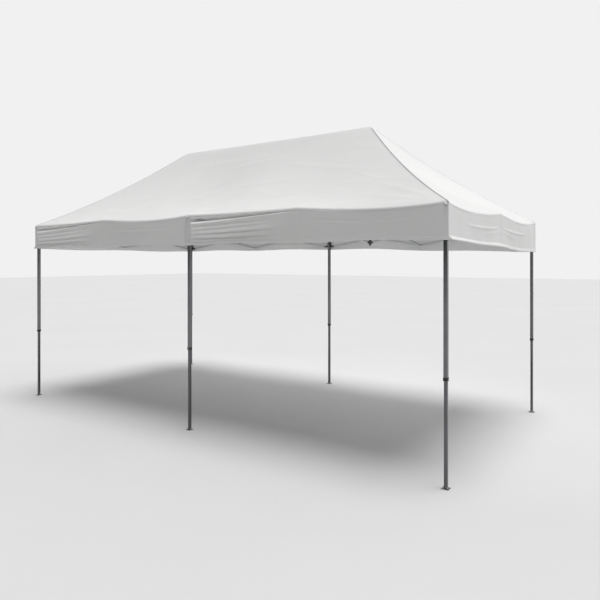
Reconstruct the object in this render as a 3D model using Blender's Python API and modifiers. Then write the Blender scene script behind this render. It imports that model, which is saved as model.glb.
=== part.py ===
"""Pop-up canopy, 3 x 6 m: six telescopic legs, a folding frame of crossed bars, and a fabric roof.

Metres, +Z up. The origin is on the floor, at the middle of the six legs. X runs along the long
side, and -Y is the front. The frame stands open. Each truss is a pair of crossed bars: a
"fall" bar drops from the top of an outer station to the bottom of an inner one, and a "rise"
bar climbs from the bottom of the outer station to the top of the inner one.
"""

import math

import bmesh
import bpy
from mathutils import Matrix, Vector

# Driving dimensions
BAY = 3.0
WIDTH = 3.0
TOP_PIVOT_Z = 2.380
EAVE_Z = 2.410
RIDGE_Z = 3.490
VALANCE_HEIGHT = 0.325
OPEN_ANGLE = math.radians(10.0)

OUTER_TUBE = 0.033
OUTER_WALL = 0.0015
OUTER_BOTTOM_Z = 0.902
COLLAR = 0.038
COLLAR_HEIGHT = 0.028
CAP = 0.045
CAP_BOTTOM_Z = 2.345
CAP_TOP_Z = 2.400
CAP_PLUG = 0.005

INNER_TUBE = 0.027
INNER_WALL = 0.0014
INNER_TOP_Z = 1.270
FOOT_PLATE = 0.064
FOOT_THICKNESS = 0.004
STAKE_HOLE_RADIUS = 0.0045
STAKE_HOLE_INSET = 0.010

SLIDER = 0.046
SLIDER_BORE = 0.0342
SLIDER_HEIGHT = 0.050

BAR_WIDTH = 0.024
BAR_THICKNESS = 0.011
LAYER_GAP = 0.003
HOLE_RADIUS = 0.0044
PIN_RADIUS = 0.0040
HEAD_RADIUS = 0.0075
HEAD_THICKNESS = 0.0040
HEAD_CLEARANCE = 0.0007
LUG_THICKNESS = 0.006
BOSS_REACH = 0.0103
BOSS_RADIUS = 0.009

LEG_REACH = 0.082
BRACKET_REACH = 0.036
HUB_REACH = 0.046
BRACKET_WIDTH = 0.030
BRACKET_HEIGHT = 0.034
BRACKET_PLATE = 0.005

POLE_RADIUS = 0.0125
POLE_WALL = 0.0014
HUB_RADIUS = 0.021
HUB_BORE = 0.0133
HUB_HEIGHT = 0.040
HUB_SLEEVE_RADIUS = 0.0160
HUB_SLEEVE_LENGTH = 0.215
POLE_FOOT = 0.020
POLE_TOP_Z = RIDGE_Z - 0.034
POLE_PLUG = 0.022
POLE_NOSE = 0.008
POLE_NOSE_RADIUS = 0.008

CANOPY_OVERHANG = 0.035
FABRIC_THICKNESS = 0.0015
RIDGE_GAP = 0.004

# Sizes that follow
LAYER = (BAR_THICKNESS + LAYER_GAP) / 2
BAR_OUTSIDE = LAYER + BAR_THICKNESS / 2
BAR_SPAN = BAY / 2 - LEG_REACH
BAR_LENGTH = BAR_SPAN / math.cos(OPEN_ANGLE)
LOW_PIVOT_Z = TOP_PIVOT_Z - BAR_LENGTH * math.sin(OPEN_ANGLE)
HALF_WIDTH = WIDTH / 2
ROUND_STEPS = 12
ARC_STEPS = 6
OVERLAP = 0.001
LUG_START = 0.003

LEGS = {
    "front_left": (-BAY, -HALF_WIDTH),
    "front_middle": (0.0, -HALF_WIDTH),
    "front_right": (BAY, -HALF_WIDTH),
    "back_left": (-BAY, HALF_WIDTH),
    "back_middle": (0.0, HALF_WIDTH),
    "back_right": (BAY, HALF_WIDTH),
}
PEAKS = {"left": -BAY / 2, "right": BAY / 2}


def clear_scene():
    for obj in list(bpy.data.objects):
        bpy.data.objects.remove(obj, do_unlink=True)


def new_collection(name):
    collection = bpy.data.collections.new(name)
    bpy.context.scene.collection.children.link(collection)
    return collection


def material(name, colour, roughness, metallic):
    made = bpy.data.materials.new(name)
    made.use_nodes = True
    shader = made.node_tree.nodes["Principled BSDF"]
    shader.inputs["Base Color"].default_value = (*colour, 1.0)
    shader.inputs["Roughness"].default_value = roughness
    shader.inputs["Metallic"].default_value = metallic
    return made


clear_scene()
PARTS = new_collection("pop_up_canopy")
CUTTERS = new_collection("cutters")
LEG_METAL = material("leg_metal", (0.42, 0.43, 0.44), 0.35, 1.0)
INNER_METAL = material("inner_metal", (0.30, 0.31, 0.32), 0.35, 1.0)
BAR_METAL = material("bar_metal", (0.36, 0.37, 0.38), 0.40, 1.0)
BLACK_PLASTIC = material("black_plastic", (0.03, 0.03, 0.03), 0.45, 0.0)
WHITE_FABRIC = material("white_fabric", (0.85, 0.85, 0.84), 0.80, 0.0)


def object_of(mesh, name, collection):
    obj = bpy.data.objects.new(name, mesh)
    collection.objects.link(obj)
    return obj


def from_bmesh(shape):
    mesh = bpy.data.meshes.new("shape")
    shape.to_mesh(mesh)
    shape.free()
    return mesh


def box(low, high):
    """A box mesh between two corners."""
    low, high = Vector(low), Vector(high)
    shape = bmesh.new()
    place = Matrix.Translation((low + high) / 2) @ Matrix.Diagonal((*(high - low), 1.0))
    bmesh.ops.create_cube(shape, size=1.0, matrix=place)
    return from_bmesh(shape)


def cylinder(start, end, radius, end_radius=None, segments=ROUND_STEPS):
    """A cylinder or cone mesh between two points."""
    start, end = Vector(start), Vector(end)
    turn = Vector((0, 0, 1)).rotation_difference(end - start).to_matrix().to_4x4()
    shape = bmesh.new()
    bmesh.ops.create_cone(
        shape,
        cap_ends=True,
        segments=segments,
        radius1=radius,
        radius2=radius if end_radius is None else end_radius,
        depth=(end - start).length,
        matrix=Matrix.Translation((start + end) / 2) @ turn,
    )
    return from_bmesh(shape)


def evaluated_mesh(obj):
    bpy.context.view_layer.update()
    graph = bpy.context.evaluated_depsgraph_get()
    mesh = bpy.data.meshes.new_from_object(obj.evaluated_get(graph))
    mesh.name = obj.name
    return mesh


def fused(name, joined, cuts=()):
    """One closed mesh: the first shape with the rest united to it, and then the cuts taken out."""
    base = object_of(joined[0], name, CUTTERS)
    helpers = []
    steps = [("UNION", mesh) for mesh in joined[1:]] + [("DIFFERENCE", mesh) for mesh in cuts]
    for operation, mesh in steps:
        helper = object_of(mesh, f"{name}_{operation.lower()}", CUTTERS)
        helper.hide_render = True
        helper.display_type = "WIRE"
        helpers.append(helper)
        modifier = base.modifiers.new(operation, "BOOLEAN")
        modifier.operation = operation
        modifier.object = helper
    mesh = evaluated_mesh(base)
    for helper in [base, *helpers]:
        bpy.data.objects.remove(helper, do_unlink=True)
    return mesh


def turned(mesh, angle):
    """The mesh turned about Z."""
    mesh.transform(Matrix.Rotation(angle, 4, "Z"))
    return mesh


def add_part(mesh, name, finish, location=(0.0, 0.0, 0.0), rotation=(0.0, 0.0, 0.0)):
    mesh.materials.clear()
    mesh.materials.append(finish)
    obj = object_of(mesh, name, PARTS)
    obj.location = location
    obj.rotation_euler = rotation
    return obj


def arc(centre_x, radius, start, end, steps=ARC_STEPS):
    angles = [start + (end - start) * i / steps for i in range(steps + 1)]
    return [(centre_x + radius * math.cos(a), radius * math.sin(a)) for a in angles]


def plate(loops, thickness):
    """A flat plate in the XZ plane, centred on y = 0: an outline, and then any holes in it."""
    curve = bpy.data.curves.new("outline", "CURVE")
    curve.dimensions = "2D"
    curve.fill_mode = "BOTH"
    curve.extrude = thickness / 2
    for loop in loops:
        spline = curve.splines.new("POLY")
        spline.points.add(len(loop) - 1)
        for point, (x, z) in zip(spline.points, loop):
            point.co = (x, z, 0.0, 1.0)
        spline.use_cyclic_u = True
    obj = object_of(curve, "outline", CUTTERS)
    mesh = evaluated_mesh(obj)
    bpy.data.objects.remove(obj, do_unlink=True)
    shape = bmesh.new()
    shape.from_mesh(mesh)
    bmesh.ops.remove_doubles(shape, verts=shape.verts, dist=1e-5)
    bmesh.ops.recalc_face_normals(shape, faces=shape.faces)
    bmesh.ops.rotate(shape, verts=shape.verts, matrix=Matrix.Rotation(math.pi / 2, 3, "X"))
    return from_bmesh(shape)


# Lugs and pins. Each is made along +X from its bracket's centre, with the pivot at z = 0.


def pin(at_x, side, start):
    """A pin through the bar on one side of the truss plane, with a head beyond it."""
    face = BAR_OUTSIDE + HEAD_CLEARANCE
    return [
        cylinder((at_x, start, 0), (at_x, side * (face + OVERLAP), 0), PIN_RADIUS),
        cylinder((at_x, side * face, 0), (at_x, side * (face + HEAD_THICKNESS), 0), HEAD_RADIUS),
    ]


def lug(reach, bar_side, start_x):
    """A tongue in one layer, with a pin through the bar that lies in the other layer."""
    half = BAR_WIDTH / 2
    outline = [(start_x, half), (start_x, -half), *arc(reach, half, -math.pi / 2, math.pi / 2)]
    tongue = plate([outline], LUG_THICKNESS)
    tongue.transform(Matrix.Translation((0, -bar_side * (LAYER_GAP + LUG_THICKNESS) / 2, 0)))
    return [tongue, *pin(reach, bar_side, -bar_side * (LAYER_GAP / 2 + OVERLAP))]


def placed_lug(reach, bar_side, start_x, heading, height):
    meshes = lug(reach, bar_side, start_x)
    for mesh in meshes:
        turned(mesh, heading)
        mesh.transform(Matrix.Translation((0, 0, height)))
    return meshes


# Bars


def bar_outline(holes):
    """A flat bar with round ends and holes, from x = 0 to the bar's length."""
    half = BAR_WIDTH / 2
    near_end = arc(0.0, half, math.pi / 2, 3 * math.pi / 2)
    far_end = arc(BAR_LENGTH, half, -math.pi / 2, math.pi / 2)
    circles = [arc(x, HOLE_RADIUS, 0.0, 2 * math.pi, ROUND_STEPS)[:-1] for x in holes]
    return plate([near_end + far_end, *circles], BAR_THICKNESS)


STATIONS = {"outer": 0.0, "middle": BAR_LENGTH / 2, "inner": BAR_LENGTH}


def bar_mesh(side, origin, plain, pinned, boss):
    """A bar in the layer on one side of its truss plane, with its origin at a named station.

    It has a hole at each station, except that a plain one has nothing and a pinned one has a
    pin that passes through the bar in the other layer. A boss is a long head on the inner pin.
    """
    holes = [x for key, x in STATIONS.items() if key not in plain and key not in pinned]
    base = bar_outline(holes)
    base.transform(Matrix.Translation((0, side * LAYER, 0)))
    added = []
    for key in pinned:
        added += pin(STATIONS[key], -side, side * (LAYER_GAP / 2 + OVERLAP))
    if boss:
        face = -side * (BAR_OUTSIDE + HEAD_CLEARANCE)
        end = (BAR_LENGTH, face - side * BOSS_REACH, 0)
        added.append(cylinder((BAR_LENGTH, face, 0), end, BOSS_RADIUS))
    mesh = fused("bar", [base, *added]) if added else base
    mesh.transform(Matrix.Translation((-STATIONS[origin], 0, 0)))
    return mesh


BAR_MESHES = {}


def cached_bar_mesh(*key):
    if key not in BAR_MESHES:
        BAR_MESHES[key] = bar_mesh(*key)
    return BAR_MESHES[key]


class Truss:
    """A pair of crossed bars between an outer station and an inner one, in plan."""

    def __init__(self, name, outer, inner, outer_reach, inner_reach, fall_side):
        start, end = Vector(outer), Vector(inner)
        along = (end - start).normalized()
        self.name = name
        self.start = start + along * outer_reach
        self.end = end - along * inner_reach
        self.heading = math.atan2(along.y, along.x)
        self.fall_side = fall_side

    def point(self, station, falling):
        share = STATIONS[station] / BAR_LENGTH
        flat = self.start.lerp(self.end, share)
        drop = share if falling else 1 - share
        return (flat.x, flat.y, TOP_PIVOT_Z + (LOW_PIVOT_Z - TOP_PIVOT_Z) * drop)

    def add_bar(self, falling, origin, plain=(), pinned=(), boss=False):
        side = self.fall_side if falling else -self.fall_side
        tilt = OPEN_ANGLE if falling else -OPEN_ANGLE
        add_part(
            cached_bar_mesh(side, origin, tuple(plain), tuple(pinned), boss),
            f"{self.name}_{'fall' if falling else 'rise'}_bar",
            BAR_METAL,
            self.point(origin, falling),
            (0.0, tilt, self.heading),
        )


def layer_towards(heading, target):
    """Which side of a truss plane faces the target direction: +1 is its left."""
    left = Vector((-math.sin(heading), math.cos(heading)))
    return 1 if left.dot(Vector(target)) > 0 else -1


def side_truss(name, leg, middle, outward, outside_fall):
    """A truss of a side wall. Its fall bar lies in the outward layer, or else in the inward one."""
    start, end = Vector(leg), Vector(middle)
    along = end - start
    heading = math.atan2(along.y, along.x)
    outward_side = layer_towards(heading, outward)
    return Truss(name, leg, middle, LEG_REACH, 0.0, outward_side if outside_fall else -outward_side)


def build_side_walls():
    """The eight trusses along the front and back, and the four across the ends."""
    trusses = {}
    for wall, y, outward in (("front", -HALF_WIDTH, (0, -1)), ("back", HALF_WIDTH, (0, 1))):
        legs = [LEGS[f"{wall}_{place}"] for place in ("left", "middle", "middle", "right")]
        peaks = [PEAKS["left"], PEAKS["left"], PEAKS["right"], PEAKS["right"]]
        for number, (leg, peak) in enumerate(zip(legs, peaks), start=1):
            first = number in (2, 3)
            truss = side_truss(f"{wall}_{number}", leg, (peak, y), outward, first)
            origins = wall_origins(wall, number)
            truss.add_bar(
                True,
                origins[0],
                pinned=("middle", "inner") if first else ("middle",),
                boss=first,
            )
            truss.add_bar(False, origins[1])
            trusses[truss.name] = truss
    for end, x in (("left", -BAY), ("right", BAY)):
        outward = (math.copysign(1, x), 0)
        for number, wall in enumerate(("front", "back"), start=1):
            first = number == 1
            leg = LEGS[f"{wall}_{end}"]
            truss = side_truss(f"{end}_{number}", leg, (x, 0.0), outward, first)
            truss.add_bar(
                True,
                "outer" if first else "inner",
                pinned=("middle", "inner") if first else ("middle",),
            )
            truss.add_bar(False, "middle", pinned=("inner",) if first else ())
            trusses[truss.name] = truss
    return trusses


def wall_origins(wall, number):
    """The stations where a wall truss's fall bar and rise bar hang on the bodies before them."""
    if wall == "front":
        return ("outer" if number in (2, 3) else "inner", "middle")
    return ("inner" if number in (2, 3) else "outer", "middle")


def build_cross_trusses():
    """Two trusses across each bay, from the wall brackets to the hubs on the peak pole."""
    trusses = {}
    for bay, x in PEAKS.items():
        for number, y in ((1, -HALF_WIDTH), (2, HALF_WIDTH)):
            heading = math.atan2(-y, 0.0)
            side = layer_towards(heading, (-1, 0))
            name = f"cross_{bay}_{number}"
            truss = Truss(name, (x, y), (x, 0.0), BRACKET_REACH, HUB_REACH, side)
            truss.add_bar(True, "outer" if number == 1 else "inner", pinned=("middle",))
            truss.add_bar(False, "middle", plain=("outer",))
            trusses[name] = truss
    return trusses


# Legs


def leg_headings(name, trusses):
    """Heading and fall-bar side of each truss whose outer station is this leg."""
    x, y = LEGS[name]
    found = []
    for truss in trusses.values():
        distance = (truss.start - Vector((x, y))).length
        if abs(distance - LEG_REACH) < OVERLAP:
            found.append((truss.heading, truss.fall_side))
    return found


def square(side, low_z, high_z):
    return box((-side / 2, -side / 2, low_z), (side / 2, side / 2, high_z))


def build_outer_leg(name, trusses):
    """A square tube, open below, with the top bracket's cap and lugs and a collar at its foot."""
    x, y = LEGS[name]
    solids = [
        square(OUTER_TUBE, OUTER_BOTTOM_Z + OVERLAP, CAP_BOTTOM_Z + OVERLAP),
        square(CAP, CAP_BOTTOM_Z, CAP_TOP_Z),
        square(COLLAR, OUTER_BOTTOM_Z, OUTER_BOTTOM_Z + COLLAR_HEIGHT),
    ]
    for heading, fall_side in leg_headings(name, trusses):
        solids += placed_lug(LEG_REACH, fall_side, CAP / 2 - LUG_START, heading, TOP_PIVOT_Z)
    bore = square(OUTER_TUBE - 2 * OUTER_WALL, OUTER_BOTTOM_Z - OVERLAP, CAP_BOTTOM_Z - CAP_PLUG)
    add_part(fused(name, solids, [bore]), f"{name}_leg", LEG_METAL, (x, y, 0.0))


def build_inner_leg(name):
    """The telescopic inner tube, open above, on a square foot plate with a stake hole."""
    x, y = LEGS[name]
    half = FOOT_PLATE / 2 - STAKE_HOLE_INSET
    hole_x = -math.copysign(half, x)
    hole_y = -math.copysign(half, y)
    hole = cylinder(
        (hole_x, hole_y, -OVERLAP), (hole_x, hole_y, FOOT_THICKNESS + OVERLAP), STAKE_HOLE_RADIUS
    )
    solids = [square(FOOT_PLATE, 0.0, FOOT_THICKNESS), square(INNER_TUBE, OVERLAP, INNER_TOP_Z)]
    bore = square(INNER_TUBE - 2 * INNER_WALL, 2 * FOOT_THICKNESS, INNER_TOP_Z + OVERLAP)
    add_part(fused(name, solids, [bore, hole]), f"{name}_foot_leg", INNER_METAL, (x, y, 0.0))


def build_slider(name, trusses):
    """The sleeve that runs on the outer leg and carries the lower ends of its trusses."""
    x, y = LEGS[name]
    solids = [square(SLIDER, 0.0, SLIDER_HEIGHT)]
    for heading, fall_side in leg_headings(name, trusses):
        solids += placed_lug(LEG_REACH, -fall_side, SLIDER / 2 - LUG_START, heading, 0.0)
    bore = square(SLIDER_BORE, -OVERLAP, SLIDER_HEIGHT + OVERLAP)
    add_part(fused(name, solids, [bore]), f"{name}_slider", BLACK_PLASTIC, (x, y, LOW_PIVOT_Z))


# Brackets, hubs and poles


def build_wall_bracket(wall, bay, trusses):
    """The bracket at the top of a wall's middle joint: a plate, a pin and a lug for the cross truss."""
    x = PEAKS[bay]
    y = -HALF_WIDTH if wall == "front" else HALF_WIDTH
    inward = 1 if wall == "front" else -1
    cross = trusses[f"cross_{bay}_{1 if wall == 'front' else 2}"]
    near = inward * (BAR_OUTSIDE + HEAD_CLEARANCE)
    far = near + inward * BRACKET_PLATE
    low_y, high_y = sorted((near, far))
    back_plate = box(
        (-BRACKET_WIDTH / 2, low_y, -BRACKET_HEIGHT / 2),
        (BRACKET_WIDTH / 2, high_y, BRACKET_HEIGHT / 2),
    )
    solids = [back_plate, *pin(0.0, -inward, near + inward * OVERLAP)]
    solids += placed_lug(BRACKET_REACH, cross.fall_side, abs(far) - LUG_START, cross.heading, 0.0)
    location = (x, y, TOP_PIVOT_Z)
    add_part(fused("bracket", solids), f"{wall}_{bay}_top_bracket", BLACK_PLASTIC, location)


def hub_lugs(bay, trusses, fall_bars):
    """Lugs towards the front and back for the ends of the fall bars, or of the rise bars."""
    meshes = []
    for number in (1, 2):
        truss = trusses[f"cross_{bay}_{number}"]
        side = truss.fall_side if fall_bars else -truss.fall_side
        # The hub looks outwards along the truss, so its left is the truss's right.
        meshes += placed_lug(HUB_REACH, -side, HUB_RADIUS - LUG_START, truss.heading + math.pi, 0.0)
    return meshes


def round_tube(radius, low_z, high_z):
    return cylinder((0, 0, low_z), (0, 0, high_z), radius, segments=2 * ROUND_STEPS)


def build_upper_hub(bay, trusses):
    """The ring that slides up the peak pole, with a guide sleeve that stays on the pole when folded."""
    half = HUB_HEIGHT / 2
    solids = [
        round_tube(HUB_RADIUS, -half, half),
        round_tube(HUB_SLEEVE_RADIUS, -HUB_SLEEVE_LENGTH, 0.0),
        *hub_lugs(bay, trusses, False),
    ]
    bore = round_tube(HUB_BORE, -HUB_SLEEVE_LENGTH - OVERLAP, half + OVERLAP)
    location = (PEAKS[bay], 0.0, TOP_PIVOT_Z)
    add_part(fused("hub", solids, [bore]), f"{bay}_sliding_hub", BLACK_PLASTIC, location)


def build_pole(bay, trusses):
    """The peak pole: a round tube on the lower hub, with a flush end plug that holds up the fabric."""
    half = HUB_HEIGHT / 2
    top = POLE_TOP_Z - LOW_PIVOT_Z
    nose_low = top - POLE_NOSE
    nose = cylinder((0, 0, nose_low), (0, 0, top), POLE_RADIUS, POLE_NOSE_RADIUS, 2 * ROUND_STEPS)
    solids = [
        round_tube(HUB_RADIUS, -half, half),
        round_tube(POLE_RADIUS, -half - POLE_FOOT, nose_low + OVERLAP),
        nose,
        *hub_lugs(bay, trusses, True),
    ]
    bore = round_tube(POLE_RADIUS - POLE_WALL, -half - POLE_FOOT - OVERLAP, top - POLE_PLUG)
    location = (PEAKS[bay], 0.0, LOW_PIVOT_Z)
    add_part(fused("pole", solids, [bore]), f"{bay}_peak_pole", LEG_METAL, location)


# Canopy


def build_canopy_half(name, facing):
    """Half of the roof and its valance, from the ridge to one eave, as one fabric shell."""
    edge_x = BAY + CANOPY_OVERHANG
    edge_y = facing * (HALF_WIDTH + CANOPY_OVERHANG)
    seam_y = facing * RIDGE_GAP
    low_z = EAVE_Z - VALANCE_HEIGHT
    shape = bmesh.new()

    def point(x, y, z):
        return shape.verts.new((x, y - edge_y, z - EAVE_Z))

    seam = [point(s * edge_x, seam_y, EAVE_Z) for s in (-1, 1)]
    corner = [point(s * edge_x, edge_y, EAVE_Z) for s in (-1, 1)]
    seam_hem = [point(s * edge_x, seam_y, low_z) for s in (-1, 1)]
    corner_hem = [point(s * edge_x, edge_y, low_z) for s in (-1, 1)]
    peak = [point(s * BAY / 2, seam_y, RIDGE_Z) for s in (-1, 1)]
    shape.faces.new((corner[0], corner[1], peak[1], peak[0]))
    shape.faces.new((corner_hem[0], corner_hem[1], corner[1], corner[0]))
    for i in (0, 1):
        shape.faces.new((seam[i], corner[i], peak[i]))
        shape.faces.new((seam_hem[i], corner_hem[i], corner[i], seam[i]))
    bmesh.ops.recalc_face_normals(shape, faces=shape.faces)
    roof = max(shape.faces, key=lambda face: face.calc_area())
    if roof.normal.z < 0:
        bmesh.ops.reverse_faces(shape, faces=shape.faces)
    obj = add_part(from_bmesh(shape), name, WHITE_FABRIC, (0.0, edge_y, EAVE_Z))
    shell = obj.modifiers.new("thickness", "SOLIDIFY")
    shell.thickness = FABRIC_THICKNESS
    shell.offset = -1.0
    shell.use_even_offset = True


def main():
    trusses = build_side_walls()
    trusses.update(build_cross_trusses())
    for name in LEGS:
        build_outer_leg(name, trusses)
        build_inner_leg(name)
        build_slider(name, trusses)
    for bay in PEAKS:
        for wall in ("front", "back"):
            build_wall_bracket(wall, bay, trusses)
        build_upper_hub(bay, trusses)
        build_pole(bay, trusses)
    build_canopy_half("canopy_front", -1)
    build_canopy_half("canopy_back", 1)


main()
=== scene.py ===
"""Looks for the pop-up canopy: fabric roof and valance, small fittings, materials, light and camera.

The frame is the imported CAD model. Everything here is in metres in its frame: X runs along the
long side, -Y is the front, +Z is up. A wall is one side of the canopy. A place on it is s, how
far along it from its middle (from left to right, seen from outside), and out, how far out it is
from the ridge or, on an end wall, from the peak.
"""

import math

import bmesh
import bpy
import numpy as np
from mathutils import Matrix, Vector


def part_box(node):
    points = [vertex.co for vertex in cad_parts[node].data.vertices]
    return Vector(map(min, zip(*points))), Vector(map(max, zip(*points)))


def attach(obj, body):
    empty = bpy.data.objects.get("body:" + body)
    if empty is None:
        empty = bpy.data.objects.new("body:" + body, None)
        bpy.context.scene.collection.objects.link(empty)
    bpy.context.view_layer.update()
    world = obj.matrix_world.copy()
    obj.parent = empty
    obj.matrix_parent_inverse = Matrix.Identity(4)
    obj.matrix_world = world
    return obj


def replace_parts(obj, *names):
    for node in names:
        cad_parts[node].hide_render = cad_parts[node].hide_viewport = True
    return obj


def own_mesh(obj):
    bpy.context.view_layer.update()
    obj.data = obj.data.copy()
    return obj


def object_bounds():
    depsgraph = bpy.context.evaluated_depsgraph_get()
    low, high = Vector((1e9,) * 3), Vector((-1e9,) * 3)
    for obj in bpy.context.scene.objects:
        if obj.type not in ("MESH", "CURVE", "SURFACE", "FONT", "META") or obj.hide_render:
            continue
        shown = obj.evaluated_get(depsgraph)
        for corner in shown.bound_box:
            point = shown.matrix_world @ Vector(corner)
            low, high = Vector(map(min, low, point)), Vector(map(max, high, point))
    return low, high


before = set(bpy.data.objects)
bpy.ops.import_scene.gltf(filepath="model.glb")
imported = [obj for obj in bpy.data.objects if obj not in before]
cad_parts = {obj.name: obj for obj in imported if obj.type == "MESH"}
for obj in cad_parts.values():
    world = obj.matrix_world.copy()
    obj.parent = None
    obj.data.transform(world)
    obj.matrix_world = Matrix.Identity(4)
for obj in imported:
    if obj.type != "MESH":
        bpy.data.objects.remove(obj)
CAD_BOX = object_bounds()

# The CAD's own sizes, which its boxes don't tell
VALANCE_DEPTH = 0.325
CAP_HEIGHT = 0.055
COLLAR_HEIGHT = 0.0285
FOOT_PLATE = 0.004
INNER_RADIUS = 0.0135
OUTER_RADIUS = 0.0165

# Places that follow from the frame
EDGE_X, EDGE_Y, RIDGE_Z = CAD_BOX[1]
HEM_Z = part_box("canopy_front")[0].z
EAVE_Z = HEM_Z + VALANCE_DEPTH
LEG_NAMES = [f"{side}_{place}" for side in ("front", "back") for place in ("left", "middle", "right")]
LEGS = {name: sum(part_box(f"{name}_foot_leg"), Vector()) / 2 for name in LEG_NAMES}
PEAK_X = LEGS["front_right"].x / 2
RIDGE_TOP = RIDGE_Z + 0.024
RISE = RIDGE_TOP - EAVE_Z
SLIDER_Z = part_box("front_middle_slider")[1].z
COLLAR_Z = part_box("front_middle_leg")[0].z
CAP_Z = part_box("front_middle_leg")[1].z - CAP_HEIGHT

# The roof: how far its hips, faces and ridge sag, and the roll over its edge
CLOTH = 0.0012
STEP = 0.022
HIP_SAG = 0.075
FACE_SAG = 0.035
RIDGE_SAG = 0.006
RIDGE_RADIUS = 0.020
ROLL_RADIUS = 0.030
ROLL_START = math.radians(27)
ROLL_OUT = ROLL_RADIUS * (1 - math.sin(ROLL_START))
ROLL_DROP = ROLL_RADIUS * math.cos(ROLL_START)
ROLL_OUT_START = EDGE_Y - ROLL_OUT
RISE_ROWS = np.concatenate([np.linspace(0, 0.05, 8), np.linspace(0.05, 1, 62)[1:]])
ROLL_ROWS = np.linspace(ROLL_START, math.pi / 2, 9)[1:]

# The eave: the stations that hold it up, its height over nominal there, and its sag between them
SIDE_STATIONS = (-EDGE_X, -PEAK_X, 0, PEAK_X, EDGE_X)
END_STATIONS = (-EDGE_Y, 0, EDGE_Y)
SIDE_LIFTS = (0.006, 0.026, 0.022, 0.026, 0.006)
END_LIFTS = (0.006, 0.002, 0.006)
PLEAT_SAG = 0.010
SMOOTH_SAG = 0.036
END_SAG = 0.045

# The back right corner, where the fabric hangs lower
LOW_CORNER_LIFT = -0.010
LOW_CORNER_DROP = 0.062
LOW_CORNER_REACH = 3.0

# Packing creases of the roof: their number, and the range of each of their measures
SIDE_CREASES = 60
END_CREASES = 22
CREASE_SPREAD = 0.85
CREASE_OUT = (0.12, 0.95)
CREASE_TURN = 0.22
CREASE_LENGTH = (0.20, 0.95)
CREASE_WIDTH = (0.018, 0.036)
CREASE_HEIGHT = (-0.0040, 0.0062)

# Broad pulls on a long side of the roof: s at the eave, lean towards the ridge, width, height
PULLS = ((0.0, -0.85, 0.55, -0.020), (1.6, 0.0, 0.7, 0.010))
# Pleats that run in from the corners of the roof: slope, height, length
CORNER_PLEATS = ((0.10, 0.012, 0.8), (0.30, 0.011, 1.0), (0.55, 0.010, 1.2))

# The valance: its hem's arch, its waves, and the hollow and ledge of its slack
HEM_ARCH = 0.014
END_HEM_ARCH = -0.0112
WAVE_HEIGHT = 0.0016
WAVE_PERIOD = 0.42
WAVE_PERIOD_STEP = 0.31
WAVE_COUNT = 6
LEDGE_DOWN = 0.010
LEDGE_GROWTH = 0.082
PLEAT_DEPTH = 0.024
LIP_SHARE = 1.9
HEM_CURL = 0.026
# Creases of the slack half of a bay: depth at its start, depth at its end, height
SLACK_CREASES = ((0.130, 0.075, 0.0060), (0.175, 0.105, 0.0055), (0.215, 0.180, 0.005), (0.265, 0.250, 0.004))

# Sewn parts. Hem: height above the valance's foot, how proud. Corner: distance past it, how proud.
HEM_PROFILE = (
    (0.030, 0.0004), (0.029, 0.0016), (0.022, 0.0022), (0.012, 0.0024), (0.004, 0.0026),
    (-0.001, 0.0018), (-0.002, 0.0002),
)
CORNER_PROFILE = (
    (-0.014, 0.0004), (-0.012, 0.0020), (-0.005, 0.0024), (-0.0015, 0.0006),
    (0.0015, 0.0006), (0.005, 0.0024), (0.008, 0.0020), (0.009, 0.0004),
)
TAPE_PROUD = 0.0012
TAPE_COLUMNS = 9
TAPE_HALF_WIDTH = 0.045
SEAM_HALF_WIDTH = 0.009
PATCH_START = 1.40
HIP_SEAM_START = 0.06

# Each half of a short side of the roof: its end and side, where it starts, and the bar it rides on
ROOF_ENDS = (
    ("right", "front", -1, "1_fall"), ("right", "back", 0, "2_fall"),
    ("left", "back", -1, "2_fall"), ("left", "front", 0, "1_fall"),
)
VALANCE_BODIES = {
    "front": "front_middle_leg",
    "right": "front_right_leg",
    "back": "back_middle_leg",
    "left": "front_left_leg",
}
# Each corner, and the walls before and after it
CORNERS = (
    ("front_right", "front", "right"), ("back_right", "right", "back"),
    ("back_left", "back", "left"), ("front_left", "left", "front"),
)

# Turned fittings: distance along the axis and radius
ROOF_BUTTON = ((-0.008, 0.0150), (0.004, 0.0150), (0.010, 0.0130), (0.014, 0.0085), (0.015, 0.0020))
BUTTON_WASHER = ((-0.008, 0.0168), (0.0020, 0.0168), (0.0030, 0.0160), (0.0032, 0.0140))
SNAP_BUTTON = ((0, 0.0055), (0.0035, 0.0055), (0.0048, 0.0042), (0.0052, 0.0015))
BUTTON_GUARD = ((0, 0.0090), (0.0012, 0.0090), (0.0020, 0.0078), (0.0021, 0.0060))
HEIGHT_HOLE = ((0, 0.0042), (0.0010, 0.0042), (0.0012, 0.0036))
FOOT_WELD = ((0, 0.0185), (0.002, 0.0182), (0.005, 0.0160), (0.0075, 0.0140), (0.0078, 0.0136))
CAP_LIP = ((0, OUTER_RADIUS + 0.0002), (0.0006, 0.0190), (0.0030, 0.0200), (0.0036, 0.0200))
PULL_PIN = ((0, 0.0075), (0.010, 0.0075), (0.011, 0.0060), (0.0175, 0.0060), (0.0185, 0.0045))

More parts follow.
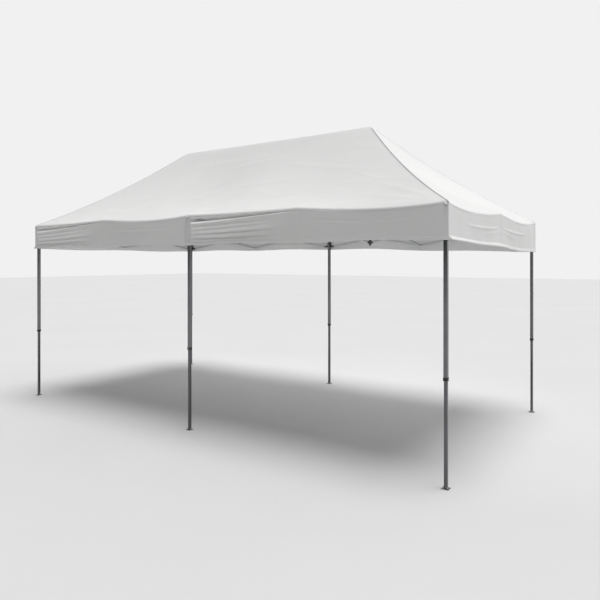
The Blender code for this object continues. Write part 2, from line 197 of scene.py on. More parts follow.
# Where the fittings sit
ROOF_BUTTON_INSET = 0.022
ROOF_BUTTON_DOWN = 0.02
ROOF_BUTTON_TILT = 1.2
SNAP_BUTTON_UP = 0.014
SNAP_BUTTON_OUT = 0.0188
GUARD_SINK = 0.0004
FIRST_HOLE_Z = 0.30
HOLE_PITCH = 0.14
HOLE_COUNT = 4
HOLE_SINK = 0.0008
LIP_DOWN = 0.003
PIN_DOWN = 0.025
PIN_IN_MIDDLE = 0.0225
PIN_IN_CORNER = 0.030
RING_RADIUS = 0.0145
RING_WIRE = 0.0012
RING_IN = 0.0165
RING_DOWN = 0.016
STRAP_Z = 2.300
STRAP_RADIUS = 0.0185
STRAP_HEIGHT = 0.026
STRAP_THICKNESS = 0.0016

# Stage, light and camera
FLOOR_HALF = 60
FLOOR_Z = -0.0005
FLOOR_TONES = (0.65, 0.67)
SHADE_DIRECTION = (-0.10, -0.99, 0.0)
WORLD_BRIGHT = 0.88
WORLD_SHADE = 0.08
BRIGHT_UNTIL = 0.36
SHADE_FROM = 0.58
KEY_DIRECTION = (0.13, -0.02, 0.99)
KEY_STRENGTH = 2.32
KEY_ANGLE = math.radians(34)
CAMERA_PLACE = (4.756, -6.198, 1.906)
CAMERA_TURN = math.radians(34.6)
CAMERA_LENS = 34.85
CAMERA_SENSOR = 36
CAMERA_SHIFT = -0.065
CAMERA_FAR = 300


# Meshes


def object_of(mesh, name, material):
    obj = bpy.data.objects.new(name, mesh)
    bpy.context.scene.collection.objects.link(obj)
    mesh.materials.append(material)
    return obj


def grid_mesh(points):
    """A smooth mesh over a (rows, columns, 3) array of points, facing the side that it is seen from."""
    rows, columns = points.shape[:2]
    index = np.arange(rows * columns).reshape(rows, columns)
    corners = [index[:-1, :-1], index[:-1, 1:], index[1:, 1:], index[1:, :-1]]
    faces = np.stack(corners, axis=-1).reshape(-1, 4)
    mesh = bpy.data.meshes.new("grid")
    mesh.from_pydata(points.reshape(-1, 3).tolist(), [], faces.tolist())
    shape = bmesh.new()
    shape.from_mesh(mesh)
    bmesh.ops.remove_doubles(shape, verts=shape.verts, dist=1e-6)
    for face in shape.faces:
        face.smooth = True
    shape.to_mesh(mesh)
    shape.free()
    return mesh


def thickened(obj, thickness, offset=-1.0):
    shell = obj.modifiers.new("cloth", "SOLIDIFY")
    shell.thickness = thickness
    shell.offset = offset


def skinned(shape, rings):
    """A closed mesh over rings of vertices: smooth sides and flat ends."""
    count = len(rings[0])
    for low, high in zip(rings, rings[1:]):
        for k in range(count):
            following = (k + 1) % count
            shape.faces.new((low[k], low[following], high[following], high[k])).smooth = True
    shape.faces.new(reversed(rings[0]))
    shape.faces.new(rings[-1])
    bmesh.ops.recalc_face_normals(shape, faces=shape.faces)
    mesh = bpy.data.meshes.new("shape")
    shape.to_mesh(mesh)
    shape.free()
    return mesh


def tube(line, radius, sides=8):
    """A round tube with closed ends through a list of points."""
    shape = bmesh.new()
    rings = []
    side = None
    for i, point in enumerate(line):
        along = (line[min(i + 1, len(line) - 1)] - line[max(i - 1, 0)]).normalized()
        if side is None:
            side = along.orthogonal().normalized()
        side = (side - along * side.dot(along)).normalized()
        other = along.cross(side)
        turns = [2 * math.pi * k / sides for k in range(sides)]
        rings.append([
            shape.verts.new(point + radius * (side * math.cos(a) + other * math.sin(a)))
            for a in turns
        ])
    return skinned(shape, rings)


def turned(profile, place, axis, steps=20):
    """A turned solid: (distance along the axis, radius) points spun about an axis from a place."""
    turn = Vector((0, 0, 1)).rotation_difference(Vector(axis)).to_matrix().to_4x4()
    to_place = Matrix.Translation(place) @ turn
    shape = bmesh.new()
    rings = []
    for height, radius in profile:
        ring = []
        for k in range(steps):
            angle = 2 * math.pi * k / steps
            flat = Vector((radius * math.cos(angle), radius * math.sin(angle), height))
            ring.append(shape.verts.new(to_place @ flat))
        rings.append(ring)
    return skinned(shape, rings)


def joined(meshes, name, material):
    """Several meshes as one object."""
    shape = bmesh.new()
    for mesh in meshes:
        shape.from_mesh(mesh)
    mesh = bpy.data.meshes.new(name)
    shape.to_mesh(mesh)
    shape.free()
    return object_of(mesh, name, material)


# Materials


class Nodes:
    """A material's node tree, with short calls for the nodes used here."""

    def __init__(self, name):
        self.material = bpy.data.materials.new(name)
        self.material.use_nodes = True
        self.tree = self.material.node_tree
        self.shader = self.tree.nodes["Principled BSDF"]
        self.place = self.add("ShaderNodeTexCoord").outputs["Object"]

    def add(self, kind, **settings):
        node = self.tree.nodes.new(kind)
        for key, value in settings.items():
            setattr(node, key, value)
        return node

    def link(self, start, end):
        self.tree.links.new(start, end)

    def set(self, socket, value):
        """Links a socket to another one, or gives it a constant."""
        if hasattr(value, "is_linked"):
            self.link(value, socket)
        else:
            socket.default_value = value

    def noise(self, scale, detail=3.0, stretch=(1, 1, 1), roughness=0.5):
        node = self.add("ShaderNodeTexNoise")
        node.inputs["Scale"].default_value = scale
        node.inputs["Detail"].default_value = detail
        node.inputs["Roughness"].default_value = roughness
        mapping = self.add("ShaderNodeMapping")
        mapping.inputs["Scale"].default_value = stretch
        self.link(self.place, mapping.inputs["Vector"])
        self.link(mapping.outputs["Vector"], node.inputs["Vector"])
        return node.outputs["Fac"]

    def bands(self, direction, scale):
        node = self.add("ShaderNodeTexWave", bands_direction=direction)
        node.inputs["Scale"].default_value = scale
        self.link(self.place, node.inputs["Vector"])
        return node.outputs["Fac"]

    def ramp(self, value, low, high, low_at=0.3, high_at=0.7):
        """A colour or a grey that goes from low to high as the value goes from low_at to high_at."""
        node = self.add("ShaderNodeValToRGB")
        stops = node.color_ramp.elements
        for stop, at, colour in ((stops[0], low_at, low), (stops[1], high_at, high)):
            stop.position = at
            stop.color = (*colour, 1.0) if hasattr(colour, "__len__") else (colour,) * 3 + (1.0,)
        self.link(value, node.inputs["Fac"])
        return node.outputs["Color"]

    def maths(self, operation, first, second):
        node = self.add("ShaderNodeMath", operation=operation)
        for socket, value in zip(node.inputs, (first, second)):
            self.set(socket, value)
        return node.outputs["Value"]

    def mixed(self, factor, first, second):
        """A colour mix. Its colour sockets share their names with others, so they go by number."""
        node = self.add("ShaderNodeMix", data_type="RGBA")
        self.link(factor, node.inputs["Factor"])
        self.set(node.inputs[6], first)
        self.set(node.inputs[7], second)
        return node.outputs[2]

    def bump(self, height, distance, strength, under=None):
        node = self.add("ShaderNodeBump")
        node.inputs["Distance"].default_value = distance
        node.inputs["Strength"].default_value = strength
        self.link(height, node.inputs["Height"])
        if under is not None:
            self.link(under, node.inputs["Normal"])
        return node.outputs["Normal"]

    def to_shader(self, **sockets):
        for name, value in sockets.items():
            self.set(self.shader.inputs[name.replace("_", " ")], value)
        return self.material


def fabric_material(name, light, dark):
    """Coated polyester: a plain weave, a soft sheen, faint packing creases and slight soiling."""
    nodes = Nodes(name)
    soil = nodes.noise(scale=0.9, detail=4.0)
    colour = nodes.ramp(soil, dark, light, low_at=0.32, high_at=0.58)
    weave = nodes.maths("MULTIPLY", nodes.bands("X", 260.0), nodes.bands("DIAGONAL", 260.0))
    crumple = nodes.noise(scale=3.2, detail=5.0, roughness=0.62)
    normal = nodes.bump(crumple, distance=0.010, strength=0.38)
    normal = nodes.bump(weave, distance=0.0002, strength=0.35, under=normal)
    roughness = nodes.ramp(nodes.noise(scale=7.0), 0.62, 0.80)
    return nodes.to_shader(
        Base_Color=colour, Roughness=roughness, Normal=normal,
        Sheen_Weight=0.12, Sheen_Roughness=0.5,
    )


def anodised(nodes, light, dark, roughness):
    """Colour, roughness and bump of drawn aluminium, with its grain along the tube."""
    grain = nodes.noise(scale=14.0, detail=4.0, stretch=(30, 30, 0.6))
    colour = nodes.ramp(grain, dark, light)
    dull = nodes.ramp(nodes.noise(scale=5.0), roughness - 0.05, roughness + 0.07)
    return colour, dull, nodes.bump(grain, distance=0.00008, strength=0.5)


def metal_material(name, light, dark, roughness):
    nodes = Nodes(name)
    colour, dull, normal = anodised(nodes, light, dark, roughness)
    return nodes.to_shader(Base_Color=colour, Roughness=dull, Normal=normal, Metallic=1.0)


def leg_material():
    """Anodised tube between a black plastic cap at the top and a black collar at the bottom."""
    nodes = Nodes("leg_metal_and_caps")
    # The tube's dark grey base tone is painted reflection: it stands for a dark ground mirrored in the metal
    colour, dull, normal = anodised(nodes, (0.20, 0.20, 0.21), (0.16, 0.16, 0.17), 0.22)
    split = nodes.add("ShaderNodeSeparateXYZ")
    nodes.link(nodes.place, split.inputs["Vector"])
    above = nodes.maths("GREATER_THAN", split.outputs["Z"], CAP_Z - 0.0005)
    below = nodes.maths("LESS_THAN", split.outputs["Z"], COLLAR_Z + COLLAR_HEIGHT)
    plastic = nodes.maths("MAXIMUM", above, below)
    return nodes.to_shader(
        Base_Color=nodes.mixed(plastic, colour, (0.018, 0.018, 0.019, 1.0)),
        Roughness=nodes.mixed(plastic, dull, (0.45, 0.45, 0.45, 1.0)),
        Metallic=nodes.maths("SUBTRACT", 1.0, plastic),
        Normal=normal,
    )


def plastic_material(name, light, dark, roughness):
    """Moulded nylon with a fine sparked grain."""
    nodes = Nodes(name)
    grain = nodes.noise(scale=900.0, detail=2.0)
    colour = nodes.ramp(nodes.noise(scale=25.0), dark, light)
    dull = nodes.ramp(nodes.noise(scale=60.0), roughness - 0.06, roughness + 0.08)
    normal = nodes.bump(grain, distance=0.0001, strength=0.4)
    return nodes.to_shader(Base_Color=colour, Roughness=dull, Normal=normal)


FABRIC = fabric_material("white_canopy_fabric", (0.83, 0.83, 0.825), (0.79, 0.79, 0.785))
# A darker grey cloth: painted shade for the groove of the front hip seams
PAINTED_SHADE_PIPING = fabric_material("hip_seam_painted_shade", (0.50, 0.50, 0.50), (0.42, 0.42, 0.42))
TAPE = fabric_material("seam_tape", (0.74, 0.74, 0.735), (0.68, 0.68, 0.675))
WEBBING = fabric_material("strap_webbing", (0.05, 0.05, 0.052), (0.03, 0.03, 0.032))
LEG_METAL = leg_material()
# The inner tubes' near-black base tone is painted reflection of a dark ground too
INNER_METAL = metal_material("inner_tube_metal", (0.15, 0.15, 0.16), (0.11, 0.11, 0.12), 0.22)
BAR_METAL = metal_material("bar_metal_satin", (0.62, 0.63, 0.64), (0.52, 0.53, 0.54), 0.42)
STEEL = metal_material("zinc_steel", (0.62, 0.62, 0.61), (0.46, 0.46, 0.45), 0.26)
BLACK_PLASTIC = plastic_material("black_nylon", (0.030, 0.030, 0.031), (0.016, 0.016, 0.017), 0.45)
WHITE_PLASTIC = plastic_material("white_nylon", (0.88, 0.88, 0.87), (0.80, 0.80, 0.79), 0.38)
# Near-black, on the nylon shader: painted shade that stands for the inside of the height holes
PAINTED_SHADE_HOLE = plastic_material("hole_painted_shade", (0.012, 0.012, 0.012), (0.006, 0.006, 0.006), 0.7)


def finish_cad_nodes():
    """Gives each carried-over CAD node its material."""
    for name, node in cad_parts.items():
        if name.endswith(("foot_leg", "peak_pole")):
            finish = INNER_METAL
        elif name.endswith("_leg"):
            finish = LEG_METAL
        elif name.endswith("_bar"):
            finish = BAR_METAL
        else:
            finish = BLACK_PLASTIC
        node.data.materials.clear()
        node.data.materials.append(finish)


# The shape of the fabric


def smooth(value, low, high):
    """0 below low, 1 above high, and a smooth step between them."""
    share = np.clip((value - low) / (high - low), 0, 1)
    return share * share * (3 - 2 * share)


def ridge_line(across, width):
    """The height of a crease, 1 along its line and 0 away from it, a little sharper than a wave."""
    return np.exp(-np.abs(across / width) ** 1.5)


def pleat(share, down):
    """Slack under the eave: a hollow and a ledge that both run out at the middle of a bay."""
    left = 1 - share
    ledge = LEDGE_DOWN + LEDGE_GROWTH * left
    depth = PLEAT_DEPTH * smooth(left, 0.0, 0.30) * smooth(share, 0.015, 0.075)
    crest = smooth(down, 0.55 * ledge, 1.02 * ledge)
    hollow = smooth(down, 0, 0.30 * ledge) * (1 - crest)
    lip = crest * np.exp(-((np.maximum(down - 1.02 * ledge, 0) / 0.10) ** 2))
    out = -depth * hollow + LIP_SHARE * depth * lip
    fade = smooth(share, 0.01, 0.12) * (1 - smooth(share, 0.55, 0.95))
    for start, end, height in SLACK_CREASES:
        line = start + (end - start) * share
        out = out + height * fade * ridge_line(down - line, 0.013)
        out = out - 0.8 * height * fade * ridge_line(down - line + 0.024, 0.016)
    return out


def mid_crease(share, down):
    """A packing crease across the middle of the smooth half of a bay, and a slack curve below it."""
    line = 0.115 - 0.012 * share
    fade = smooth(share, 0.03, 0.2) * (1 - smooth(share, 0.62, 0.86))
    out = 0.0042 * fade * ridge_line(down - line, 0.009)
    out = out - 0.0034 * fade * ridge_line(down - line + 0.020, 0.014)
    low = 0.245 - 0.16 * share
    return out - 0.0045 * (1 - smooth(share, 0.45, 0.7)) * ridge_line(down - low, 0.028)


def end_folds(index, share, down, free):
    """Two creases of an end valance, one over the other, that run out at its corners."""
    near_middle = np.where(index == 0, share, 1 - share)
    line = 0.105 + 0.03 * near_middle
    fade = smooth(near_middle, 0.25, 0.5) * (1 - smooth(near_middle, 0.85, 0.98))
    out = 0.008 * free * fade * ridge_line(down - line, 0.012)
    low = 0.20 - 0.03 * near_middle
    return out + 0.006 * free * smooth(near_middle, 0.4, 0.9) * ridge_line(down - low, 0.022)


class Wall:
    """One side of the canopy: where it is, and how its half of the roof and its valance hang."""

    def __init__(self, name, along, outward, reach, seed, low_corner=None):
        """Reach is half the ridge's length along the wall, and low_corner the station that hangs low."""
        self.name = name
        self.along = np.array(along, float)
        self.outward = np.array(outward, float)
        self.reach = reach
        self.half = reach + EDGE_Y
        self.stations = np.array(END_STATIONS if self.is_end else SIDE_STATIONS)
        self.lifts = np.array(END_LIFTS if self.is_end else SIDE_LIFTS)
        self.low_corner = low_corner
        if low_corner is not None:
            self.lifts[low_corner] = LOW_CORNER_LIFT
        self.creases = self.roof_creases(np.random.default_rng(seed))
        self.waves = np.random.default_rng(seed + 50).uniform(0, 2 * math.pi, WAVE_COUNT)

    @property
    def is_end(self):
        return self.reach == 0.0

    def place(self, s, out, z):
        """Places on the wall as points of the frame."""
        distance = PEAK_X - self.reach + out
        flat = s[..., None] * self.along + distance[..., None] * self.outward
        return np.concatenate([flat, z[..., None]], axis=-1)

    # The eave

    def span(self, s):
        """Which span between two stations each place is in, and its share of the way along it."""
        index = np.clip(np.searchsorted(self.stations, s) - 1, 0, len(self.stations) - 2)
        start = self.stations[index]
        return index, np.clip((s - start) / (self.stations[index + 1] - start), 0, 1)

    def eave(self, s):
        """How far the eave is above its nominal height: held up at the stations, slack between."""
        index, share = self.span(s)
        even = index % 2 == 0
        level = self.lifts[index] * (1 - share) + self.lifts[index + 1] * share
        depth = END_SAG if self.is_end else np.where(even, PLEAT_SAG, SMOOTH_SAG)
        skew = share ** np.where(even, 0.85, 1.15)
        return level - depth * 4 * skew * (1 - skew)

    # The roof

    def roof_creases(self, random):
        """Faint packing creases: centre, centre out, direction, length, width and height of each."""
        creases = []
        for _ in range(END_CREASES if self.is_end else SIDE_CREASES):
            creases.append((
                random.uniform(-CREASE_SPREAD, CREASE_SPREAD) * self.half,
                random.uniform(*CREASE_OUT) * EDGE_Y,
                random.normal(0.0, CREASE_TURN),
                random.uniform(*CREASE_LENGTH),
                random.uniform(*CREASE_WIDTH),
                random.uniform(*CREASE_HEIGHT),
            ))
        return creases

    def tension(self, s, out, share):
        """Broad pulls from the legs to the peaks, and pleats that run in from the corners."""
        z = 0.0
        if not self.is_end:
            for start, lean, width, height in PULLS:
                aside = s - start - lean * (1 - share)
                z = z + height * np.exp(-((aside / width) ** 2)) * np.sin(math.pi * share)
        for corner in (-1, 1):
            inward = self.half - corner * s
            back = EDGE_Y - out
            for slope, height, length in CORNER_PLEATS:
                aside = back - slope * inward - 0.012
                fade = smooth(inward, 0.05, 0.15) * (1 - smooth(inward, 0.3 * length, length))
                z = z + height * ridge_line(aside, 0.020 + 0.03 * inward) * fade
        return z

    def roof_height(self, s, out):
        """Height of the roof at s and at a distance out, up to where its edge rolls over."""
        rounded = np.sqrt(out ** 2 + RIDGE_RADIUS ** 2) - RIDGE_RADIUS
        share = np.clip(rounded / (ROLL_OUT_START - RIDGE_RADIUS), 0, 1)
        half = np.maximum(self.reach + out, 1e-6)
        across = np.clip(s / half, -1, 1)
        z = RIDGE_TOP - RISE * share - 4 * HIP_SAG * share * (1 - share)
        z = z - RIDGE_SAG * (1 - across ** 2) * (1 - share) ** 2
        inside = (1 - np.abs(across) ** 3) * np.sin(math.pi * share)
        z = z - FACE_SAG * inside
        z = z + self.eave(across * self.half) * share ** 5
        calm = (1 - across ** 8) * smooth(share, 0.0, 0.12) * (1 - smooth(share, 0.97, 1.0))
        for centre, centre_out, turn, length, width, height in self.creases:
            along = (s - centre) * math.cos(turn) + (out - centre_out) * math.sin(turn)
            aside = (out - centre_out) * math.cos(turn) - (s - centre) * math.sin(turn)
            z = z + calm * height * ridge_line(aside, width) * np.exp(-((2 * along / length) ** 4))
        return z + calm * self.tension(s, out, share)

    def roof_edge(self, across, turn, proud=0.0):
        """Points on the rolled edge of the roof, at an angle from straight up to straight out."""
        start = np.full(across.shape, ROLL_OUT_START)
        z = self.roof_height(across * (self.reach + start), start)
        out = np.full(across.shape, EDGE_Y - ROLL_RADIUS * (1 - math.sin(turn)))
        z = z - ROLL_DROP + ROLL_RADIUS * math.cos(turn)
        s = across * (self.reach + out)
        return self.place(s, out + proud * math.sin(turn), z + proud * math.cos(turn))

    def roof_points(self, low, high):
        """The roof from the ridge to the valance, between two shares of the way across it."""
        across = np.linspace(low, high, round((high - low) * self.half / STEP) + 1)
        rows = []
        for distance in RISE_ROWS * ROLL_OUT_START:
            out = np.full(across.shape, distance)
            s = across * (self.reach + out)
            rows.append(self.place(s, out, self.roof_height(s, out)))
        for turn in ROLL_ROWS:
            rows.append(self.roof_edge(across, turn))
        return np.array(rows)

    # The valance

    def valance_top(self, s):
        return EAVE_Z + self.eave(s) - ROLL_DROP

    def valance_bottom(self, s):
        arch = END_HEM_ARCH if self.is_end else HEM_ARCH
        level = HEM_Z + arch * np.sin(math.pi * self.span(s)[1]) ** 2
        if self.low_corner is not None:
            sign = -1 if self.low_corner == 0 else 1
            drop = smooth(sign * s, self.half - LOW_CORNER_REACH, self.half)
            level = level - LOW_CORNER_DROP * drop
        return level

    def bulge(self, s, down):
        """How far the valance stands out of its plane, at a depth below its top edge."""
        index, share = self.span(s)
        free = np.sin(math.pi * share) ** 0.5
        size = EAVE_Z - HEM_Z
        out = np.zeros(s.shape)
        for number, phase in enumerate(self.waves):
            period = WAVE_PERIOD + WAVE_PERIOD_STEP * number
            lean = 0.5 * math.sin(3.1 * phase)
            wave = np.sin(2 * math.pi * (s + lean * down) / period + phase)
            out = out + WAVE_HEIGHT * wave * free * (0.3 + 0.7 * down / size)
        if self.is_end:
            foot = down / (self.valance_top(s) - self.valance_bottom(s))
            folds = end_folds(index, share, down, free)
            return out + folds + self.curled_hem(index, share, foot)
        creased = mid_crease(share, down) * free
        return out + np.where(index % 2 == 0, pleat(share, down), creased)

    def curled_hem(self, index, share, foot):
        """The foot of an end valance curls outwards, most at its front corner."""
        along = (index + share) / 2
        if self.outward[0] < 0:
            along = 1 - along
        return HEM_CURL * (1 - 0.85 * along) * smooth(foot, 0.88, 1.0)

    def valance_points(self, s, share_down, proud=0.0):
        """Points of the valance at a share of the way from its top edge to its hem."""
        top = self.valance_top(s)
        down = share_down * (top - self.valance_bottom(s))
        out = EDGE_Y - CLOTH / 2 + self.bulge(s, down) + proud
        return self.place(s, out, top - down)


WALLS = {
    "front": Wall("front", (1, 0), (0, -1), PEAK_X, 3),
    "right": Wall("right", (0, 1), (1, 0), 0.0, 4, -1),
    "back": Wall("back", (-1, 0), (0, 1), PEAK_X, 5, 0),
    "left": Wall("left", (0, -1), (-1, 0), 0.0, 6),
}


# Roof and valance


def clothed(obj, body, end=False):
    """A sheet of cloth that rides on a body."""
    thickened(obj, CLOTH)
    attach(obj, body)
    if end:
        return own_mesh(obj)
    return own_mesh(obj)


def roof_side(name):
    """A long side of the roof, which rides on its canopy body in place of the CAD's canopy part."""
    side = object_of(grid_mesh(WALLS[name].roof_points(-1, 1)), f"{name}_roof", FABRIC)
    clothed(side, f"canopy_{name}")
    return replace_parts(side, f"canopy_{name}")


def roof_end(name, wall, low, bar):
    """Half of a short side of the roof. It rides on the bar hung from its corner leg."""
    half = object_of(grid_mesh(wall.roof_points(low, low + 1)), name, FABRIC)
    thickened(half, CLOTH)
    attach(half, bar)
    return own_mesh(half)


def valance(wall, body):
    columns = round(2 * wall.half / (STEP * 0.7)) + 1
    s = np.linspace(-wall.half, wall.half, columns)
    rows = [wall.valance_points(s, share) for share in np.linspace(0, 1, 60)]
    sheet = object_of(grid_mesh(np.array(rows)), f"{wall.name}_valance", FABRIC)
    return clothed(sheet, body, wall.is_end)


def hem(wall, body):
    """A doubled band along the foot of a valance, a little proud of it, rolled over at the bottom."""
    columns = round(2 * wall.half / STEP) + 1
    s = np.linspace(-wall.half, wall.half, columns)
    size = EAVE_Z - HEM_Z
    rows = [wall.valance_points(s, 1 - up / size, proud) for up, proud in HEM_PROFILE]
    band = object_of(grid_mesh(np.array(rows)), f"{wall.name}_hem", FABRIC)
    return clothed(band, body, wall.is_end)


def tape_profile(half_width):
    """Places across a strip of tape, and how proud it is at each."""
    across = np.linspace(-1, 1, TAPE_COLUMNS)
    offsets = np.linspace(-half_width, half_width, TAPE_COLUMNS)
    return offsets, TAPE_PROUD * (1 - np.abs(across) ** 6)


def valance_seam(wall, body, number):
    """A strip of tape sewn down the middle of a long valance, or a bare seam elsewhere."""
    reinforced = not wall.is_end and number == 2
    offsets, proud = tape_profile(TAPE_HALF_WIDTH if reinforced else SEAM_HALF_WIDTH)
    s = wall.stations[number] + offsets
    rows = [wall.valance_points(s, share, proud) for share in np.linspace(0, 1, 40)]
    material = TAPE if reinforced else FABRIC
    strip = object_of(grid_mesh(np.array(rows)), f"{wall.name}_valance_seam_{number}", material)
    return clothed(strip, body, wall.is_end)


def roof_patch(name):
    """A patch sewn on the roof's edge over the middle leg, from a little way in to the valance."""
    wall = WALLS[name]
    offsets, proud = tape_profile(TAPE_HALF_WIDTH)
    rows = []
    for distance in np.linspace(PATCH_START, ROLL_OUT_START, 60):
        out = np.full(TAPE_COLUMNS, distance)
        rows.append(wall.place(offsets, out, wall.roof_height(offsets, out) + proud))
    for turn in ROLL_ROWS:
        rows.append(wall.roof_edge(offsets / wall.half, turn, proud))
    patch = object_of(grid_mesh(np.array(rows)), f"{name}_roof_patch", FABRIC)
    return clothed(patch, f"canopy_{name}")


def corner_places(first, second):
    """The places across a corner's seam: wall, which end of it, distance from there, how proud."""
    return [
        (first, 1, -width, proud) if width < 0 else (second, -1, width, proud)
        for width, proud in CORNER_PROFILE
    ]


def hip_seam(corner, first, second, body):
    """The sewn seam down a hip, from the peak to the rolled edge: two raised edges and a groove."""
    places = corner_places(first, second)
    rows = []
    for distance in np.linspace(HIP_SEAM_START, ROLL_OUT_START, 70):
        out = np.array([distance])
        row = []
        for wall, sign, inward, proud in places:
            s = sign * (wall.reach + out - inward)
            row.append(wall.place(s, out, wall.roof_height(s, out) + proud)[0])
        rows.append(row)
    for turn in ROLL_ROWS:
        rows.append([
            wall.roof_edge(np.array([sign * (1 - inward / wall.half)]), turn, proud)[0]
            for wall, sign, inward, proud in places
        ])
    # Only the front hips get the darker grey cloth: painted shade of the groove down the hip
    material = PAINTED_SHADE_PIPING if corner.startswith("front") else FABRIC
    strip = object_of(grid_mesh(np.array(rows)), f"{corner}_hip_seam", material)
    return clothed(strip, body)


def corner_binding(corner, first, second):
    """The narrow double edge down a corner of the valance."""
    rows = []
    for share in np.linspace(0, 1, 40):
        rows.append([
            wall.valance_points(np.array([sign * (wall.half - inward)]), share, proud)[0]
            for wall, sign, inward, proud in corner_places(first, second)
        ])
    strip = object_of(grid_mesh(np.array(rows)), f"{corner}_valance_binding", FABRIC)
    thickened(strip, CLOTH)
    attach(strip, f"{corner}_leg")
    return strip


def make_fabric():
    roofs = {name: roof_side(name) for name in ("front", "back")}
    ends = {
        (name, side): roof_end(f"{side}_{name}_roof_end", WALLS[name], low, f"{name}_{bar}_bar")
        for name, side, low, bar in ROOF_ENDS
    }
    extras = {}
    for name, wall in WALLS.items():
        body = VALANCE_BODIES[name]
        valance(wall, body)
        extras[name] = [hem(wall, body)]
        for number in range(1, len(wall.stations) - 1):
            extras[name].append(valance_seam(wall, body, number))
    roof_extras = {name: [roof_patch(name)] for name in roofs}
    for corner, before, after in CORNERS:
        side = corner.split("_")[0]
        walls = WALLS[before], WALLS[after]
        roof_extras[side].append(hip_seam(corner, *walls, f"canopy_{side}"))
        extras[before].append(corner_binding(corner, *walls))


# Fittings


def fitting(name, material, body, profile, place, axis, steps=20):
    """A turned fitting that rides on a body."""
    piece = object_of(turned(profile, place, axis, steps), name, material)
    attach(piece, body)


def outward_sides(name):
    """The outward directions of the walls that a leg stands in: two at a corner, one in a middle."""
    place = LEGS[name]
    sides = [Vector((0, math.copysign(1, place.y), 0))]
    if "middle" not in name:
        sides.append(Vector((math.copysign(1, place.x), 0, 0)))
    return sides


def make_roof_buttons():
    """The white buttons that fix the fabric to the top of each leg, just under its rolled edge."""
    for name, place in LEGS.items():
        wall = WALLS[name.split("_")[0]]
        s = 0.0
        if "middle" not in name:
            s = wall.along[0] * math.copysign(wall.half - ROOF_BUTTON_INSET, place.x)
        point = Vector(wall.valance_points(np.array([s]), ROOF_BUTTON_DOWN)[0])
        axis = Vector((*wall.outward, ROOF_BUTTON_TILT)).normalized()
        leg = f"{name}_leg"
        fitting(f"{name}_roof_button", WHITE_PLASTIC, leg, ROOF_BUTTON, point, axis)
        fitting(f"{name}_button_washer", STEEL, leg, BUTTON_WASHER, point, axis)


def make_leg_fittings():
    """Snap button, its guard, height holes drawn as discs of painted shade, the weld at the foot and the lip
    of the cap.
    """
    up = (0, 0, 1)
    for name, place in LEGS.items():
        leg = f"{name}_leg"
        foot_leg = f"{name}_foot_leg"
        face = outward_sides(name)[-1]
        at = Vector((place.x, place.y, COLLAR_Z + SNAP_BUTTON_UP)) + face * SNAP_BUTTON_OUT
        fitting(f"{name}_snap_button", STEEL, leg, SNAP_BUTTON, at, face, 16)
        guard_at = at - face * GUARD_SINK
        fitting(f"{name}_button_guard", BLACK_PLASTIC, leg, BUTTON_GUARD, guard_at, face)
        # Each height hole is a near-black disc sunk into the tube: painted shade in place of an open hole
        holes = []
        for number in range(HOLE_COUNT):
            axis_at = Vector((place.x, place.y, FIRST_HOLE_Z + HOLE_PITCH * number))
            hole_at = axis_at + face * (INNER_RADIUS - HOLE_SINK)
            holes.append(turned(HEIGHT_HOLE, hole_at, face, 14))
        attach(joined(holes, f"{name}_height_holes", PAINTED_SHADE_HOLE), foot_leg)
        foot_at = (place.x, place.y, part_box(foot_leg)[0].z + FOOT_PLATE)
        fitting(f"{name}_foot_weld", STEEL, foot_leg, FOOT_WELD, foot_at, up, 28)
        lip_at = (place.x, place.y, CAP_Z - LIP_DOWN)
        fitting(f"{name}_cap_lip", BLACK_PLASTIC, leg, CAP_LIP, lip_at, up, 28)


def make_pull_pins():
    """The sprung pin that locks each slider, with its ring. Both face inwards."""
    for name, place in LEGS.items():
        face = -sum(outward_sides(name), Vector()).normalized()
        inwards = PIN_IN_MIDDLE if "middle" in name else PIN_IN_CORNER
        start = Vector((place.x, place.y, SLIDER_Z - PIN_DOWN)) + face * inwards
        fitting(f"{name}_pull_pin", STEEL, f"{name}_slider", PULL_PIN, start, face, 18)
        aside = face.cross(Vector((0, 0, 1)))
        centre = start + face * RING_IN - Vector((0, 0, RING_DOWN))
        turns = [2 * math.pi * k / 28 for k in range(29)]
        loop = [
            centre + RING_RADIUS * (aside * math.sin(a) + Vector((0, 0, math.cos(a))))
            for a in turns
        ]
        ring = object_of(tube(loop, RING_WIRE), f"{name}_pull_ring", STEEL)
        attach(ring, f"{name}_slider")


def make_straps():
    """Hook-and-loop straps that tie the roof to the top of each leg, under the roof."""
    turns = np.linspace(0, 2 * math.pi, 25)
    for name, place in LEGS.items():
        x = place.x + STRAP_RADIUS * np.cos(turns)
        y = place.y + STRAP_RADIUS * np.sin(turns)
        rows = [
            np.stack([x, y, np.full(turns.shape, STRAP_Z + height)], axis=-1)
            for height in np.linspace(0, STRAP_HEIGHT, 4)
        ]
        strap = object_of(grid_mesh(np.array(rows)), f"{name}_strap", WEBBING)
        thickened(strap, STRAP_THICKNESS, 0.0)
        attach(strap, f"{name}_leg")


# Stage


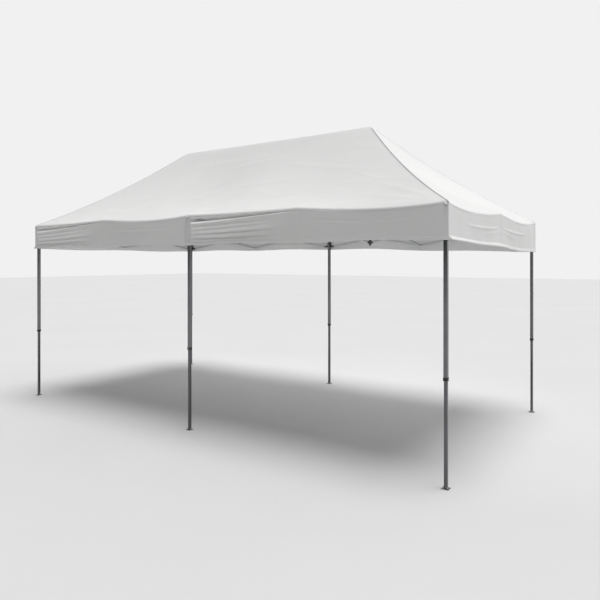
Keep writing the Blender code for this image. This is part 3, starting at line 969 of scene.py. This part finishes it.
def make_stage():
    steps = np.linspace(-FLOOR_HALF, FLOOR_HALF, 13)
    floor = grid_mesh(np.array([[(x, y, FLOOR_Z) for x in steps] for y in steps[::-1]]))
    nodes = Nodes("pale_floor")
    colour = nodes.ramp(nodes.noise(scale=0.4), *FLOOR_TONES)
    object_of(floor, "floor", nodes.to_shader(Base_Color=colour, Roughness=0.9))


def make_light():
    """A white world that is dark on the front side, and a wide sun overhead."""
    world = bpy.data.worlds.new("studio")
    bpy.context.scene.world = world
    world.use_nodes = True
    tree = world.node_tree
    background = tree.nodes["Background"]
    place = tree.nodes.new("ShaderNodeTexCoord")
    facing = tree.nodes.new("ShaderNodeVectorMath")
    facing.operation = "DOT_PRODUCT"
    facing.inputs[1].default_value = SHADE_DIRECTION
    tree.links.new(place.outputs["Generated"], facing.inputs[0])
    share = tree.nodes.new("ShaderNodeMath")
    share.operation = "MULTIPLY_ADD"
    share.inputs[1].default_value = 0.5
    share.inputs[2].default_value = 0.5
    tree.links.new(facing.outputs["Value"], share.inputs[0])
    ramp = tree.nodes.new("ShaderNodeValToRGB")
    bright, shade = ramp.color_ramp.elements
    bright.position = BRIGHT_UNTIL
    bright.color = (WORLD_BRIGHT,) * 3 + (1,)
    shade.position = SHADE_FROM
    shade.color = (WORLD_SHADE,) * 3 + (1,)
    tree.links.new(share.outputs["Value"], ramp.inputs["Fac"])
    tree.links.new(ramp.outputs["Color"], background.inputs["Color"])
    key = bpy.data.lights.new("key", "SUN")
    key.energy = KEY_STRENGTH
    key.angle = KEY_ANGLE
    lamp = bpy.data.objects.new("key", key)
    bpy.context.scene.collection.objects.link(lamp)
    lamp.rotation_euler = Vector(KEY_DIRECTION).to_track_quat("Z", "Y").to_euler()


def make_camera():
    camera = bpy.data.cameras.new("camera")
    camera.lens = CAMERA_LENS
    camera.sensor_width = CAMERA_SENSOR
    camera.shift_y = CAMERA_SHIFT
    camera.clip_end = CAMERA_FAR
    holder = bpy.data.objects.new("camera", camera)
    bpy.context.scene.collection.objects.link(holder)
    holder.location = CAMERA_PLACE
    holder.rotation_euler = (math.radians(90), 0, CAMERA_TURN)
    bpy.context.scene.camera = holder


finish_cad_nodes()
make_fabric()
make_roof_buttons()
make_leg_fittings()
make_pull_pins()
make_straps()
make_stage()
make_light()
make_camera()
bpy.context.scene.view_settings.view_transform = "Standard"
